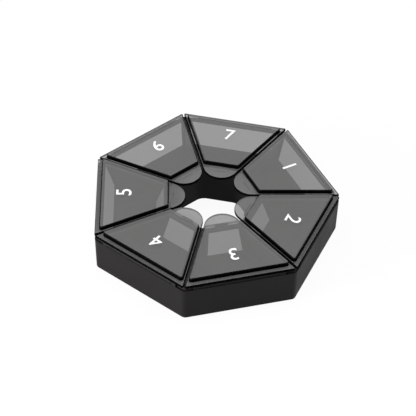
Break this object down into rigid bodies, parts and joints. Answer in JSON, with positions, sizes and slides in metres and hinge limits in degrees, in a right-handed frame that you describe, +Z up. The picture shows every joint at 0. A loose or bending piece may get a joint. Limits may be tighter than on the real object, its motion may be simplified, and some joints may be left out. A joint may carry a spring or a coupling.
{
  "type": "weekly pill box",
  "caption": "Seven-sided ring pill box: a black tray with a cup for each day and smoked flip lids round an open centre.",
  "frame": {"origin": "on the centre hole's axis, at the level of the feet that stand on the table", "axes": "+Z up, out of the lids; +X from the axis to the corner between lid 1 and lid 2"},
  "size_m": [0.1106, 0.1134, 0.0226],
  "materials": {
    "tray_plastic": "satin black moulded plastic",
    "smoked_plastic": "smoked translucent, polished",
    "pin_steel": "drawn wire"
  },
  "bodies": {
    "tray": {"base_tray": "tray_plastic"},
    "lid_body_1": {"lid_1": "smoked_plastic", "hinge_pin_1": "pin_steel"},
    "lid_body_2": {"lid_2": "smoked_plastic", "hinge_pin_2": "pin_steel"},
    "lid_body_3": {"lid_3": "smoked_plastic", "hinge_pin_3": "pin_steel"},
    "lid_body_4": {"lid_4": "smoked_plastic", "hinge_pin_4": "pin_steel"},
    "lid_body_5": {"lid_5": "smoked_plastic", "hinge_pin_5": "pin_steel"},
    "lid_body_6": {"lid_6": "smoked_plastic", "hinge_pin_6": "pin_steel"},
    "lid_body_7": {"lid_7": "smoked_plastic", "hinge_pin_7": "pin_steel"}
  },
  "joints": [
    {"name": "lid_hinge_1", "type": "hinge", "parent": "tray", "child": "lid_body_1", "pos_m": [0.0465, 0.0224, 0.01825], "axis": [-0.4339, 0.901, 0], "range_deg": [0, 95]},
    {"name": "lid_hinge_2", "type": "hinge", "parent": "tray", "child": "lid_body_2", "pos_m": [0.0465, -0.0224, 0.01825], "axis": [0.4339, 0.901, 0], "range_deg": [0, 95]},
    {"name": "lid_hinge_3", "type": "hinge", "parent": "tray", "child": "lid_body_3", "pos_m": [0.01149, -0.05032, 0.01825], "axis": [0.9749, 0.2225, 0], "range_deg": [0, 95]},
    {"name": "lid_hinge_4", "type": "hinge", "parent": "tray", "child": "lid_body_4", "pos_m": [-0.03218, -0.04036, 0.01825], "axis": [0.7818, -0.6235, 0], "range_deg": [0, 95]},
    {"name": "lid_hinge_5", "type": "hinge", "parent": "tray", "child": "lid_body_5", "pos_m": [-0.05162, 0, 0.01825], "axis": [0, -1, 0], "range_deg": [0, 95]},
    {"name": "lid_hinge_6", "type": "hinge", "parent": "tray", "child": "lid_body_6", "pos_m": [-0.03218, 0.04036, 0.01825], "axis": [-0.7818, -0.6235, 0], "range_deg": [0, 95]},
    {"name": "lid_hinge_7", "type": "hinge", "parent": "tray", "child": "lid_body_7", "pos_m": [0.01149, 0.05032, 0.01825], "axis": [-0.9749, 0.2225, 0], "range_deg": [0, 95]}
  ]
}
